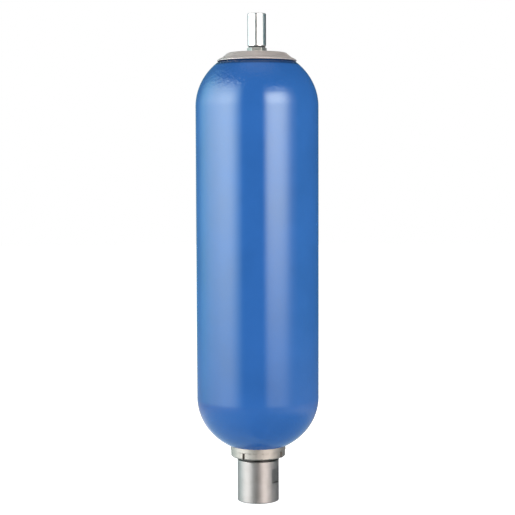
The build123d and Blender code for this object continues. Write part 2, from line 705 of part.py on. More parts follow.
with BuildPart() as port_o_ring:
    with BuildSketch(Plane.XZ):
        with Locations(((NECK_RADIUS + PORT_HOLE_RADIUS) / 2, washer_floor - O_RING_SECTION)):
            Circle(O_RING_SECTION)
    revolve(axis=Axis.Z)
port_o_ring.part.label = "port_o_ring"
export_step(port_o_ring.part, "parts/port_o_ring.step")

backup_ring = ring(pack_inner, pack_outer, backup_floor, backup_top)
backup_ring.part.label = "backup_ring"
export_step(backup_ring.part, "parts/backup_ring.step")

# The spacer carries a spigot that centres the neck in the opening.
spacer_ring = turned(
    [
        (pack_inner, SPACER_LOW),
        (SPACER_RADIUS - EDGE_BREAK, SPACER_LOW),
        (SPACER_RADIUS, SPACER_LOW + EDGE_BREAK),
        (SPACER_RADIUS, BASE_SEAT - EDGE_BREAK),
        (SPACER_RADIUS - EDGE_BREAK, BASE_SEAT),
        (pack_outer, BASE_SEAT),
        (pack_outer, backup_floor),
        (pack_inner, backup_floor),
    ]
)
spacer_ring.part.label = "spacer_ring"
export_step(spacer_ring.part, "parts/spacer_ring.step")

# The nut has spanner slots cut down its whole height and a bevelled lower edge.
with BuildPart() as ring_nut:
    with BuildSketch(Plane.XZ):
        with BuildLine():
            Polyline(
                (NECK_RADIUS + RUNNING_CLEARANCE, RING_NUT_LOW),
                (RING_NUT_RADIUS - RING_NUT_BEVEL, RING_NUT_LOW),
                (RING_NUT_RADIUS, RING_NUT_LOW + RING_NUT_BEVEL),
                (RING_NUT_RADIUS, SPACER_LOW - EDGE_BREAK),
                (RING_NUT_RADIUS - EDGE_BREAK, SPACER_LOW),
                (NECK_RADIUS + RUNNING_CLEARANCE, SPACER_LOW),
                close=True,
            )
        make_face()
    revolve(axis=Axis.Z)
    with BuildSketch(Plane.XY.offset(RING_NUT_LOW)):
        with PolarLocations(RING_NUT_RADIUS, SLOTS, start_angle=SLOT_ANGLE):
            Rectangle(2 * SLOT_DEPTH, SLOT_WIDTH)
    extrude(amount=SPACER_LOW - RING_NUT_LOW, mode=Mode.SUBTRACT)
ring_nut.part.label = "ring_nut"
export_step(ring_nut.part, "parts/ring_nut.step")
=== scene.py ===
"""Looks of a bladder accumulator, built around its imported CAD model.

The file is laid out as an add-on and run as a script. Each operator makes one piece or one group of like
pieces, and the panel lists them. Lengths are metres in the CAD frame: the origin is the centre of the fluid
port's bottom face and +Z points up.
"""
import json
from math import atan2, cos, pi, radians, sin, sqrt, tan, tau

import bmesh
import bpy
from bpy.props import FloatProperty, FloatVectorProperty, IntProperty, PointerProperty
from mathutils import Matrix, Vector


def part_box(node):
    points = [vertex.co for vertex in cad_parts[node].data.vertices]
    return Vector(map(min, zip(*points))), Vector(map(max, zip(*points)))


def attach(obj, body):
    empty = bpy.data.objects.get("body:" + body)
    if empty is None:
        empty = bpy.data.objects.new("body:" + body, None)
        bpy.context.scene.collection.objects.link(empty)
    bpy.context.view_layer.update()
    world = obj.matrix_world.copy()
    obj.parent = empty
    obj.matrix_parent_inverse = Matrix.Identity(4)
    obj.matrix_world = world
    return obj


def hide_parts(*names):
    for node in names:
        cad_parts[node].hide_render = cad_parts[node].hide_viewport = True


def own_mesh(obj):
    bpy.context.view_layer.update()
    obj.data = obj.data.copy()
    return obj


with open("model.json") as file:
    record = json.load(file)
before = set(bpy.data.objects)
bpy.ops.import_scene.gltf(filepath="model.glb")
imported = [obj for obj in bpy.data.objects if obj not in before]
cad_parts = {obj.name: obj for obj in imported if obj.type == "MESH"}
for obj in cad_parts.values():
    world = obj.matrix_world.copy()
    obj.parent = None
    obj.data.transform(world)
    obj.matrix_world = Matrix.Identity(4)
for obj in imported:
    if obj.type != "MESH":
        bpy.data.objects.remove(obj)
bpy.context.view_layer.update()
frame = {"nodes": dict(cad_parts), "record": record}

bl_info = {
    "name": "Bladder accumulator",
    "version": (1, 0, 0),
    "blender": (4, 5, 0),
    "location": "View3D > Sidebar > Accumulator",
    "description": "Dresses the packed model of a bladder accumulator and sets up its studio",
    "category": "Object",
}

MM = 0.001
STEPS = 224  # faces round a turned piece
FINE_STEPS = 160  # and round the port body, whose thread needs many rows
SMALL_STEPS = 144  # and round the cap and the nut
SHARP = radians(32)  # edges steeper than this stay sharp
ON_AXIS = 1e-9  # a radius under this is a point on the axis
STEM_BORE = 11.05 * MM  # radius of what is screwed on the gas stem
FLAT_LOW, FLAT_HIGH = 35.7 * MM, 62.5 * MM  # ends of the port's spanner flats
MIX_A, MIX_B = 6, 7  # the two colour inputs of a Mix node


# ---------------------------------------------------------------- small helpers
def linear(code):
    """Linear RGBA of an sRGB hex colour."""
    channels = [int(code[i : i + 2], 16) / 255 for i in (0, 2, 4)]
    return [c / 12.92 if c <= 0.04045 else ((c + 0.055) / 1.055) ** 2.4 for c in channels] + [1.0]


def add(tree, kind, inputs=None, **settings):
    """Adds a node with its settings. Each input is a value, the socket that feeds it, or the node whose first
    result does."""
    node = tree.nodes.new(kind)
    for name, value in settings.items():
        setattr(node, name, value)
    for name, value in (inputs or {}).items():
        if isinstance(value, bpy.types.Node):
            value = next(socket for socket in value.outputs if socket.enabled)
        if isinstance(value, bpy.types.NodeSocket):
            tree.links.new(value, node.inputs[name])
        else:
            node.inputs[name].default_value = value
    return node


def length(name, description, default):
    """A length property in metres."""
    return FloatProperty(
        name=name, description=description, default=default, precision=5, subtype="DISTANCE", unit="LENGTH"
    )


def angle(name, description, default):
    """An angle property, with its default in degrees."""
    return FloatProperty(
        name=name, description=description, default=radians(default), subtype="ANGLE", unit="ROTATION"
    )


def colour(name, description, code):
    """A colour property from an sRGB hex code."""
    return FloatVectorProperty(
        name=name, description=description, default=linear(code)[:3], size=3, min=0, max=1, subtype="COLOR"
    )


def share(name, description, default):
    """A property between 0 and 1."""
    return FloatProperty(name=name, description=description, default=default, min=0, max=1, subtype="FACTOR")


# ---------------------------------------------------------------- settings
class VesselSettings(bpy.types.PropertyGroup):
    """Enamelled shell."""

    enamel: colour("Enamel", "Colour of the shell's paint", "2E67B2")
    film: colour("Film", "Tint of the reflections in the paint film", "F5FAEC")
    sheen: share("Roughness", "Roughness of the paint film", 0.13)
    peel: length("Peel size", "Distance between the paint film's soft waves", 2.4 * MM)
    peel_depth: length("Peel depth", "Height of those waves", 0.008 * MM)
    cloud: length("Clouds", "Distance between the paint's thicker patches", 90 * MM)
    forging: length("Forging waves", "Distance between the waves left by forging the ends", 6.5 * MM)
    forging_depth: length("Forging depth", "Height of those waves, drawn deeper than real to show", 1.1 * MM)
    wall: length("Wall", "Thickness of the shell's straight wall", 12 * MM)
    straight_low: length("Straight wall from", "Height where the cylindrical wall starts", 194 * MM)
    straight_high: length("Straight wall to", "Height where it ends", 731 * MM)
    crown_rise: length("Crown rise", "Semi-axis of the upper end, outside", 105 * MM)
    base_drop: length("Base drop", "Semi-axis of the lower end, outside", 102.5 * MM)
    inner_rise: length("Inner crown rise", "Semi-axis of the upper end, inside", 75 * MM)
    inner_drop: length("Inner base drop", "Semi-axis of the lower end, inside", 74 * MM)
    stem_hole: length("Stem hole", "Radius of the opening for the gas stem", 11.4 * MM)
    port_hole: length("Port hole", "Radius of the opening for the fluid port", 46 * MM)


class CrownSettings(bpy.types.PropertyGroup):
    """Pieces on the crown."""

    plate_steel: colour("Plate steel", "Colour of the pressed stainless plate", "DFD1CC")
    bright_steel: colour("Bright steel", "Colour of the plated cap", "DFD6D5")
    nut_zinc: colour("Nut zinc", "Colour of the zinc-plated nut", "9C9A96")
    plate: length("Plate thickness", "Thickness of the pressed plate", 2 * MM)
    nut_flats: length("Nut across flats", "Spanner size of the nut on the gas stem", 32 * MM)


class PortSettings(bpy.types.PropertyGroup):
    """Fluid port and its rings."""

    turned_steel: colour("Turned steel", "Colour of the oiled port", "9D9492")
    ring_steel: colour("Ring steel", "Colour of the rings round its neck", "A49A94")
    pitch: length("Thread pitch", "Distance between the turns of the pipe thread", 25.4 / 11 * MM)
    crest: length("Thread crest", "Inner radius of the pipe thread", 28.33 * MM)
    depth: length("Thread depth", "Depth of the pipe thread", 1.479 * MM)
    flow_holes: IntProperty(name="Flow holes", description="Holes through the guide's web", default=8, min=1)
    slots: IntProperty(name="Slots", description="Spanner slots round the ring nut", default=4, min=1)
    slot_width: length("Slot width", "Width of a spanner slot", 5.5 * MM)
    slot_depth: length("Slot depth", "Depth of a spanner slot", 5 * MM)
    slot_angle: angle("Slot angle", "Direction of the first slot, from +X", -122)
    flats: length("Flats", "Distance across the port's two spanner flats", 70 * MM)
    flat_angle: angle("Flat angle", "Direction that one spanner flat faces, from +X", -24)


class StudioSettings(bpy.types.PropertyGroup):
    """Camera and light."""

    distance: length("Distance", "Camera's distance from the object's axis", 2.698)
    height: length("Height", "Camera's height above the floor", 0.620)
    pitch: angle("Pitch", "How far the camera looks down", 3.54)
    roll: angle("Roll", "How far the camera is turned about its view", -0.19)
    lens: FloatProperty(name="Lens", description="Focal length in millimetres", default=102.13, unit="CAMERA")
    ambient: FloatProperty(name="Ambient", description="Level of the even light", default=0.54, min=0)
    lamps: FloatProperty(name="Lamps", description="Power of the main lamp in watts", default=18, min=0)


# ---------------------------------------------------------------- meshes
def ellipse(centre, semi_radius, rise, start, end, steps):
    """Points (radius, height, 0) of an ellipse between two radii; a negative rise turns it downwards."""
    first, last = (atan2(sqrt(1 - (r / semi_radius) ** 2), r / semi_radius) for r in (start, end))
    angles = [first + (last - first) * i / steps for i in range(steps + 1)]
    return [(semi_radius * cos(a), centre + rise * sin(a), 0) for a in angles]


def rounded(corners, closed=True, steps=4):
    """An outline with its corners rounded. A corner is (radius, height, fillet), and a fillet of 0 leaves a
    point. A point close beside each rounding keeps the shading of the flats even."""
    points = []
    for i, (x, y, fillet) in enumerate(corners):
        at_end = not closed and i in (0, len(corners) - 1)
        here = Vector((x, y))
        if not fillet or at_end:
            points.append(tuple(here))
            continue
        before = Vector(corners[i - 1][:2]) - here
        after = Vector(corners[(i + 1) % len(corners)][:2]) - here
        u, v = before.normalized(), after.normalized()
        half = u.angle(v) / 2
        reach = fillet / tan(half)
        centre = here + (u + v).normalized() * fillet / sin(half)
        start, end = here + u * reach - centre, here + v * reach - centre
        first = atan2(start.y, start.x)
        sweep = (atan2(end.y, end.x) - first + pi) % tau - pi
        hold = 0.35 * fillet
        if before.length > 2 * (reach + hold):
            points.append(tuple(here + u * (reach + hold)))
        for k in range(steps + 1):
            a = first + sweep * k / steps
            points.append((centre.x + fillet * cos(a), centre.y + fillet * sin(a)))
        if after.length > 2 * (reach + hold):
            points.append(tuple(here + v * (reach + hold)))
    return points


def ring(mesh, radius, height, steps):
    """A circle of vertices about Z, or one vertex on the axis."""
    if radius < ON_AXIS:
        return [mesh.verts.new((0, 0, height))]
    turns = [tau * i / steps for i in range(steps)]
    return [mesh.verts.new((radius * cos(a), radius * sin(a), height)) for a in turns]


def turn(mesh, outline, steps=STEPS, closed=True):
    """Turns an outline of (radius, height) points about Z; a point on the axis becomes a pole."""
    rows = [ring(mesh, radius, height, steps) for radius, height in outline]
    skin(mesh, rows + rows[:1] if closed else rows, steps)


def skin(mesh, rows, steps):
    """Joins rows of vertices with faces. A row of one vertex is a pole."""
    for low, high in zip(rows, rows[1:]):
        if len(low) == len(high) == 1:
            continue
        for i in range(steps):
            j = (i + 1) % steps
            corners = [low[i % len(low)], low[j % len(low)], high[j % len(high)], high[i % len(high)]]
            mesh.faces.new(list(dict.fromkeys(corners)))


def piece(name, mesh, material=None):
    """Makes a finished, outward-facing object of a bmesh."""
    bmesh.ops.remove_doubles(mesh, verts=mesh.verts, dist=1e-7)
    bmesh.ops.recalc_face_normals(mesh, faces=mesh.faces)
    data = bpy.data.meshes.new(name)
    mesh.to_mesh(data)
    mesh.free()
    made = bpy.data.objects.new(name, data)
    bpy.context.scene.collection.objects.link(made)
    if material:
        data.materials.append(material)
    shade(made)
    return made


def shade(made):
    """Smooth shading, with sharp edges kept."""
    made.data.shade_smooth()
    made.data.set_sharp_from_angle(angle=SHARP)


def settle(made):
    """Applies an object's modifiers."""
    bpy.context.view_layer.update()
    graph = bpy.context.evaluated_depsgraph_get()
    data = bpy.data.meshes.new_from_object(made.evaluated_get(graph))
    made.modifiers.clear()
    old = made.data
    made.data = data
    data.name = made.name
    bpy.data.meshes.remove(old)
    shade(made)


def lathe(name, corners, material=None, steps=STEPS):
    """A turned piece of rounded corners."""
    mesh = bmesh.new()
    turn(mesh, rounded(corners), steps)
    return piece(name, mesh, material)


def prism(name, corners, low, high):
    """An upright prism over flat (x, y) corners."""
    mesh = bmesh.new()
    rows = [[mesh.verts.new((x, y, z)) for x, y in corners] for z in (low, high)]
    mesh.faces.new(rows[0])
    mesh.faces.new(rows[1])
    skin(mesh, rows, len(corners))
    return piece(name, mesh)


def combine(made, cutter, operation="DIFFERENCE"):
    """Cuts an object with another one, or keeps the part inside it. The other one is used up."""
    modifier = made.modifiers.new("cut", "BOOLEAN")
    modifier.operation = operation
    modifier.solver = "MANIFOLD"
    modifier.object = cutter
    settle(made)
    bpy.data.objects.remove(cutter)


def place(made, node, body="vessel"):
    """Lets a piece stand for a CAD node."""
    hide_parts(node)
    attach(made, body)


def reach_of(node):
    """Outer radius, lowest and highest point of a turned CAD node."""
    low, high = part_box(node)
    return high.x, low.z, high.z


# ---------------------------------------------------------------- geometry nodes
SIZE, STEEL = ("NodeSocketFloat", MM), ("NodeSocketMaterial", None)  # kinds of input, with their defaults


def node_group(name, sizes):
    """A geometry tree with named inputs, and the sockets that carry them. Sizes gives (socket kind, default)
    for each name."""
    tree = bpy.data.node_groups.new(name, "GeometryNodeTree")
    for way in ("INPUT", "OUTPUT"):
        tree.interface.new_socket("Geometry", in_out=way, socket_type="NodeSocketGeometry")
    for label, (kind, default) in sizes.items():
        socket = tree.interface.new_socket(label, in_out="INPUT", socket_type=kind)
        if default is not None:
            socket.default_value = default
    return tree, add(tree, "NodeGroupInput").outputs


def deliver(tree, geometry, steel):
    """Ends a geometry tree: real meshes in one material."""
    whole = add(tree, "GeometryNodeRealizeInstances", {"Geometry": geometry})
    dressed = add(tree, "GeometryNodeSetMaterial", {"Geometry": whole, "Material": steel})
    add(tree, "NodeGroupOutput", {"Geometry": dressed})
    return tree


def grow(made, tree, sizes):
    """Runs a geometry tree on an object with the given sizes and keeps the resulting mesh."""
    modifier = made.modifiers.new(tree.name, "NODES")
    modifier.node_group = tree
    names = {item.name: item.identifier for item in tree.interface.items_tree if item.in_out == "INPUT"}
    for label, value in sizes.items():
        modifier[names[label]] = value
    settle(made)


def cuts_in_a_circle(name, kind):
    """Tree that cuts equal holes or slots, evenly spaced on a circle."""
    labels = ["Circle Radius", "First Angle", "Middle Height", "Cut Across", "Cut Height"]
    if kind == "slot":
        labels.append("Cut Radial")
    sizes = {"Count": ("NodeSocketInt", 4), **dict.fromkeys(labels, SIZE), "Steel": STEEL}
    tree, put = node_group(name, sizes)
    centres = add(tree, "GeometryNodeMeshCircle", {"Vertices": put["Count"], "Radius": put["Circle Radius"]})
    turned = add(tree, "ShaderNodeCombineXYZ", {"Z": put["First Angle"]})
    lifted = add(tree, "ShaderNodeCombineXYZ", {"Z": put["Middle Height"]})
    moved = {"Geometry": centres, "Rotation": turned, "Translation": lifted}
    spread = add(tree, "GeometryNodeTransform", moved)
    if kind == "slot":
        sides = {"X": put["Cut Radial"], "Y": put["Cut Across"], "Z": put["Cut Height"]}
        cutter = add(tree, "GeometryNodeMeshCube", {"Size": add(tree, "ShaderNodeCombineXYZ", sides)})
    else:
        half = add(tree, "ShaderNodeMath", {0: put["Cut Across"], 1: 0.5}, operation="MULTIPLY")
        sides = {"Vertices": 48, "Radius": half, "Depth": put["Cut Height"]}
        cutter = add(tree, "GeometryNodeMeshCylinder", sides)
    at = add(tree, "GeometryNodeInputPosition")
    outward = add(tree, "ShaderNodeVectorMath", {0: at, 1: (1, 1, 0)}, operation="MULTIPLY")
    facing = add(tree, "FunctionNodeAlignRotationToVector", {"Vector": outward}, axis="X", pivot_axis="Z")
    spots = {"Points": spread, "Instance": cutter, "Rotation": facing}
    cutters = add(tree, "GeometryNodeInstanceOnPoints", spots)
    solid = add(tree, "GeometryNodeRealizeInstances", {"Geometry": cutters})
    both = {"Mesh 1": put["Geometry"], "Mesh 2": solid}
    cut = add(tree, "GeometryNodeMeshBoolean", both, operation="DIFFERENCE", solver="MANIFOLD")
    return deliver(tree, cut, put["Steel"])


def coil_tree():
    """Tree that winds a compression spring with closed end turns: round wire along a helix whose pitch is one
    wire at both ends and even between them."""
    labels = ("Mean Radius", "Wire Radius", "Low", "High", "Open Turns", "Closed Turns")
    sizes = {**dict.fromkeys(labels, SIZE), "Steps": ("NodeSocketInt", 400), "Steel": STEEL}
    tree, put = node_group("wound_spring", sizes)
    known = {name: put[name] for name in labels}
    known["Along"] = add(tree, "GeometryNodeSplineParameter")
    # what the sizes come to, one sum a line
    for name, operation, *terms in (
        ("Open End", "ADD", "Closed Turns", "Open Turns"),
        ("Turns", "ADD", "Open End", "Closed Turns"),
        ("Wire", "MULTIPLY", "Wire Radius", 2),
        ("Closed Rise", "MULTIPLY", "Wire", "Closed Turns"),
        ("Closed Rises", "MULTIPLY", "Closed Rise", 2),
        ("Length", "SUBTRACT", "High", "Low"),
        ("Span", "SUBTRACT", "Length", "Wire"),
        ("Open Rise", "SUBTRACT", "Span", "Closed Rises"),
        ("Height", "ADD", "Low", "Wire Radius"),
        ("Turned", "MULTIPLY", "Along", "Turns"),
        ("Bearing", "MULTIPLY", "Turned", tau),
        ("Cosine", "COSINE", "Bearing"),
        ("Sine", "SINE", "Bearing"),
        ("X", "MULTIPLY", "Mean Radius", "Cosine"),
        ("Y", "MULTIPLY", "Mean Radius", "Sine"),
    ):
        inputs = {i: known.get(term, term) for i, term in enumerate(terms)}
        known[name] = add(tree, "ShaderNodeMath", inputs, operation=operation)
    # the wire climbs in three stretches: closed, open and closed again
    for start, end, rise in (
        (0.0, "Closed Turns", "Closed Rise"),
        ("Closed Turns", "Open End", "Open Rise"),
        ("Open End", "Turns", "Closed Rise"),
    ):
        stretch = {"Value": "Turned", "From Min": start, "From Max": end, "To Max": rise}
        climb = add(tree, "ShaderNodeMapRange", {key: known.get(term, term) for key, term in stretch.items()})
        known["Height"] = add(tree, "ShaderNodeMath", {0: known["Height"], 1: climb}, operation="ADD")
    spot = add(tree, "ShaderNodeCombineXYZ", {"X": known["X"], "Y": known["Y"], "Z": known["Height"]})
    line = add(tree, "GeometryNodeCurvePrimitiveLine")
    dense = add(tree, "GeometryNodeResampleCurve", {"Curve": line, "Count": put["Steps"]})
    bent = add(tree, "GeometryNodeSetPosition", {"Geometry": dense, "Position": spot})
    section = add(tree, "GeometryNodeCurvePrimitiveCircle", {"Resolution": 14, "Radius": put["Wire Radius"]})
    wound = {"Curve": bent, "Profile Curve": section, "Fill Caps": True}
    return deliver(tree, add(tree, "GeometryNodeCurveToMesh", wound), put["Steel"])


# ---------------------------------------------------------------- materials
def new_material(name):
    """An empty material and its tree."""
    material = bpy.data.materials.new(name)
    material.use_nodes = True
    material.node_tree.nodes.clear()
    return material, material.node_tree


def object_axes(tree):
    """Object coordinates, whole and split."""
    where = add(tree, "ShaderNodeTexCoord").outputs["Object"]
    return where, add(tree, "ShaderNodeSeparateXYZ", {0: where}).outputs


def between(tree, height, low, high, soft):
    """A mask that is 1 between two heights and 0 outside them, with soft ends."""
    ends = (
        add(tree, "ShaderNodeMapRange", {"Value": height, "From Min": clear, "From Max": full})
        for clear, full in ((low - soft, low + soft), (high + soft, high - soft))
    )
    return add(tree, "ShaderNodeMath", dict(enumerate(ends)), operation="MULTIPLY")


def darkened(tree, tone, mask, share_left):
    """A tone scaled down where a mask is 1."""
    level = add(tree, "ShaderNodeMapRange", {"Value": mask, "To Min": 1.0, "To Max": share_left})
    return add(tree, "ShaderNodeVectorMath", {0: tone, "Scale": level}, operation="SCALE")


def patchy(tree, pattern, base, dark, light, low=0.3, high=0.7):
    """A colour that a pattern takes from a darker to a lighter tone."""
    share_light = add(tree, "ShaderNodeMapRange", {"Value": pattern, "From Min": low, "From Max": high})
    tones = ([c * level for c in base[:3]] + [1.0] for level in (dark, light))
    return add(tree, "ShaderNodeMix", {0: share_light, **dict(zip((MIX_A, MIX_B), tones))}, data_type="RGBA")


def enamel_material(settings):
    """Sprayed and stoved enamel: a smooth hard film that flows into soft waves, so lamps reflect with a
    slightly uneven edge, and thins a little over the steel, which shifts its blue by a hair."""
    material, tree = new_material("stoved_enamel")
    where, axes = object_axes(tree)
    height = axes[2]
    named = ("Scale", "Detail", "Roughness")
    patterns = (
        (1 / settings.peel, 2.0, 0.45), (1 / settings.cloud, 3.0, 0.5), (1 / settings.forging, 2.0, 0.55),
    )
    peel, clouds, waves = (
        add(tree, "ShaderNodeTexNoise", {"Vector": where, **dict(zip(named, values))}) for values in patterns
    )
    # hammered waves of a few millimetres, left by forging the two ends hot; none on the straight wall
    crown, base = settings.straight_high, settings.straight_low
    base_share = 0.25
    # painted shade: the paint is darkened just below the crown plate's brim, where the brim's shadow falls
    brim_low, brim_high = 804.8 * MM, 808 * MM
    on_crown, on_base, painted_shade_under_brim = (
        add(tree, "ShaderNodeMapRange", {"Value": height, "From Min": low, "From Max": full, "To Max": most})
        for low, full, most in (
            (crown + 26 * MM, crown + 44 * MM, 1.0),
            (base, base - 30 * MM, base_share),
            (brim_low, brim_high, 1.0),
        )
    )
    ends = add(tree, "ShaderNodeMath", {0: on_crown, 1: on_base}, operation="MAXIMUM")
    forged = add(tree, "ShaderNodeMath", {0: waves, 1: ends}, operation="MULTIPLY")
    # the film's thickness varies in clouds
    tint = patchy(tree, clouds, settings.enamel, 0.95, 1.05, 0.35, 0.65)
    smooth, dull = settings.sheen - 0.02, settings.sheen + 0.03
    rough = {"From Min": 0.3, "From Max": 0.7, "To Min": smooth, "To Max": dull}
    soft = add(tree, "ShaderNodeBump", {"Height": peel, "Distance": settings.peel_depth})
    waved = {"Height": forged, "Distance": settings.forging_depth, "Normal": soft}
    film = {
        "Specular IOR Level": 0.5,
        "IOR": 1.5,
        "Specular Tint": [*settings.film, 1],
        "Base Color": darkened(tree, tint, painted_shade_under_brim, 0.35),
        "Roughness": add(tree, "ShaderNodeMapRange", {"Value": clouds, **rough}),
        "Normal": add(tree, "ShaderNodeBump", waved),
    }
    surface = add(tree, "ShaderNodeBsdfPrincipled", film)
    add(tree, "ShaderNodeOutputMaterial", {"Surface": surface})
    return material


def painted_groove_shade(tree, tone, radius, height, reach, low, high, share_left):
    """A tone darkened as painted shade: inside a radius and between two heights, with soft ends."""
    soft = 0.4 * MM
    inside = add(tree, "ShaderNodeMapRange", {"Value": radius, "From Min": reach, "From Max": reach - soft})
    level = between(tree, height, low, high, soft)
    mask = add(tree, "ShaderNodeMath", {0: level, 1: inside}, operation="MULTIPLY")
    return darkened(tree, tone, mask, share_left)


def painted_flat_shade(tree, tone, where, height, settings):
    """A tone darkened on the port's spanner flats: painted shade that stands in for the darker reflection
    they show.
    """
    facing = (cos(settings.flat_angle), sin(settings.flat_angle), 0)
    across = add(tree, "ShaderNodeVectorMath", {0: where, 1: facing}, operation="DOT_PRODUCT")
    off_axis = add(tree, "ShaderNodeMath", {0: across}, operation="ABSOLUTE")
    near_face = {0: off_axis, 1: settings.flats / 2, 2: 0.05 * MM}
    on_face = add(tree, "ShaderNodeMath", near_face, operation="COMPARE")
    level = between(tree, height, FLAT_LOW, FLAT_HIGH, 0.1 * MM)
    mask = add(tree, "ShaderNodeMath", {0: level, 1: on_face}, operation="MULTIPLY")
    return darkened(tree, tone, mask, 0.8)


def turned_material(name, base, roughness, feed, depth, stain, anisotropy=0.0, oil=None, flats=None, **more):
    """Metal left from the lathe: fine grooves run round the axis, one for each pass of the tool, so light
    spreads along the axis; handling leaves faint darker patches."""
    material, tree = new_material(name)
    where, axes = object_axes(tree)
    squares = (add(tree, "ShaderNodeMath", {0: axes[i], 1: axes[i]}, operation="MULTIPLY") for i in (0, 1))
    summed = add(tree, "ShaderNodeMath", dict(enumerate(squares)), operation="ADD")
    radius = add(tree, "ShaderNodeMath", {0: summed}, operation="SQRT")
    pass_at = add(tree, "ShaderNodeMath", {0: radius, 1: axes[2]}, operation="ADD")
    cut = {"W": pass_at, "Scale": 1 / (feed * MM), "Detail": 4.0, "Roughness": 0.7}
    grooves = add(tree, "ShaderNodeTexNoise", cut, noise_dimensions="1D")
    hand = 20 * MM  # distance between the marks of handling
    patches = add(tree, "ShaderNodeTexNoise", {"Vector": where, "Scale": 1 / hand, "Detail": 4.0})
    handled = patchy(tree, patches, base, 1 - stain, 1)
    both = {0: 1.0, MIX_A: handled, MIX_B: patchy(tree, grooves, (1, 1, 1), 0.9, 1)}
    tone = add(tree, "ShaderNodeMix", both, data_type="RGBA", blend_type="MULTIPLY")
    # painted shade in the groove under the ring nut, where asked
    if oil:
        tone = painted_groove_shade(tree, tone, radius, axes[2], **oil)
    # painted shade on the spanner flats, where asked
    if flats:
        tone = painted_flat_shade(tree, tone, where, axes[2], flats)
    spread = {"From Min": 0.25, "From Max": 0.75, "To Min": roughness * 0.85, "To Max": roughness * 1.15}
    inputs = {
        "Metallic": 1.0,
        "Anisotropic": anisotropy,
        **more,
        "Base Color": tone,
        "Roughness": add(tree, "ShaderNodeMapRange", {"Value": grooves, **spread}),
        "Normal": add(tree, "ShaderNodeBump", {"Height": grooves, "Distance": depth * MM}),
    }
    if anisotropy:
        inputs["Tangent"] = add(tree, "ShaderNodeTangent", direction_type="RADIAL", axis="Z")
    surface = add(tree, "ShaderNodeBsdfPrincipled", inputs)
    add(tree, "ShaderNodeOutputMaterial", {"Surface": surface})
    return material


def grained_material(name, base, metallic, roughness, grain, depth, contrast):
    """A plain finish with a fine even grain: moulded rubber, drawn wire, sintered or milled metal."""
    material, tree = new_material(name)
    where = add(tree, "ShaderNodeTexCoord").outputs["Object"]
    fine = add(tree, "ShaderNodeTexNoise", {"Vector": where, "Scale": 1 / (grain * MM), "Detail": 3.0})
    rough = {"From Min": 0.3, "From Max": 0.7, "To Min": roughness * 0.9, "To Max": min(1.0, roughness * 1.1)}
    inputs = {
        "Metallic": metallic,
        "Base Color": patchy(tree, fine, base, 1 - contrast, 1),
        "Roughness": add(tree, "ShaderNodeMapRange", {"Value": fine, **rough}),
        "Normal": add(tree, "ShaderNodeBump", {"Height": fine, "Distance": depth * MM}),
    }
    surface = add(tree, "ShaderNodeBsdfPrincipled", inputs)
    add(tree, "ShaderNodeOutputMaterial", {"Surface": surface})
    return material


def stock(name):
    """The material of that name, made once. Grain and tool marks finer than about half a millimetre are drawn
    coarser than real, at the size that still shows."""
    if name in bpy.data.materials:
        return bpy.data.materials[name]
    crown, port = bpy.context.scene.crown_settings, bpy.context.scene.port_settings
    # painted shade in the groove above the port's body, from its shoulder up to the ring nut, which overhangs
    # it
    groove_shade_spot = {"reach": 37.6 * MM, "low": 77.2 * MM, "high": 84 * MM, "share_left": 0.12}
    dim_edge = (0.35, 0.35, 0.35, 1)
    # colour, roughness, feed and depth of the grooves in millimetres, stain, and what else the metal has
    turned = {
        # pressed stainless sheet, brushed round before pressing and dulled by handling: satin, slightly warm
        # and half diffuse; its 0.1 mm brush marks are drawn at 0.8 mm
        "pressed_stainless": (crown.plate_steel, 0.5, 0.8, 0.004, 0.08, {"anisotropy": 0.2, "Metallic": 0.6}),
        # steel turned smooth and nickel plated: clear but softened mirror lines, darker at glancing angles
        # as nickel is; its 0.1 mm feed is drawn at 0.6 mm
        "nickel_plated_steel": (crown.bright_steel, 0.33, 0.6, 0.002, 0.05, {"Specular Tint": dim_edge}),
        # turned carbon steel, oiled: satin grey with a warm cast, with painted shade in the groove under the
        # ring nut and on the spanner flats; its 0.2 mm feed is drawn at 0.7 mm
        "oiled_turned_steel": (port.turned_steel, 0.43, 0.7, 0.002, 0.14, {"oil": groove_shade_spot, "flats": port}),
        # the same steel degreased and left bright: the rings round the port's neck
        "bright_turned_steel": (port.ring_steel, 0.55, 0.7, 0.002, 0.1, {}),
        # turned brass: clear yellow; its 0.1 mm feed is drawn at 0.4 mm
        "turned_brass": (linear("D9B36C"), 0.22, 0.4, 0.003, 0.1, {"anisotropy": 0.2}),
    }
    # colour, metallic, roughness, spacing and depth of the grain in millimetres, and its contrast
    grained = {
        # zinc-plated steel nut: the dull film on the zinc scatters light, and the scale of its forging shows
        # through as a grain of 1 to 2 mm
        "zinc_plated_steel": (crown.nut_zinc, 0.5, 0.42, 1.6, 0.02, 0.35),
        # milled and turned steel out of sight: duller and greyer; its 0.2 mm marks are drawn at 1.5 mm
        "machined_steel": (linear("A9A6A3"), 1.0, 0.35, 1.5, 0.004, 0.1),
        # oil-tempered spring wire: dark blue-black film over drawn steel; its die lines are drawn at 0.8 mm
        "tempered_wire": (linear("6B6C70"), 1.0, 0.38, 0.8, 0.004, 0.25),
        # moulded nitrile rubber: matt black with a fine bloom; its 0.1 mm texture is drawn at 1.2 mm
        "nitrile_rubber": (linear("26262A"), 0.0, 0.62, 1.2, 0.02, 0.25),
        # sintered bronze bearing: brown, porous, slightly oily; its 0.1 mm powder grains are drawn at 0.5 mm
        "sintered_bronze": (linear("A9814F"), 1.0, 0.45, 0.5, 0.03, 0.3),
        # skived fluoropolymer: waxy white, with faint waves about 2 mm apart
        "fluoropolymer": (linear("E9E7E0"), 0.0, 0.4, 2.0, 0.004, 0.04),
    }
    if name in grained:
        return grained_material(name, *grained[name])
    *look, more = turned[name]
    return turned_material(name, *look, **more)


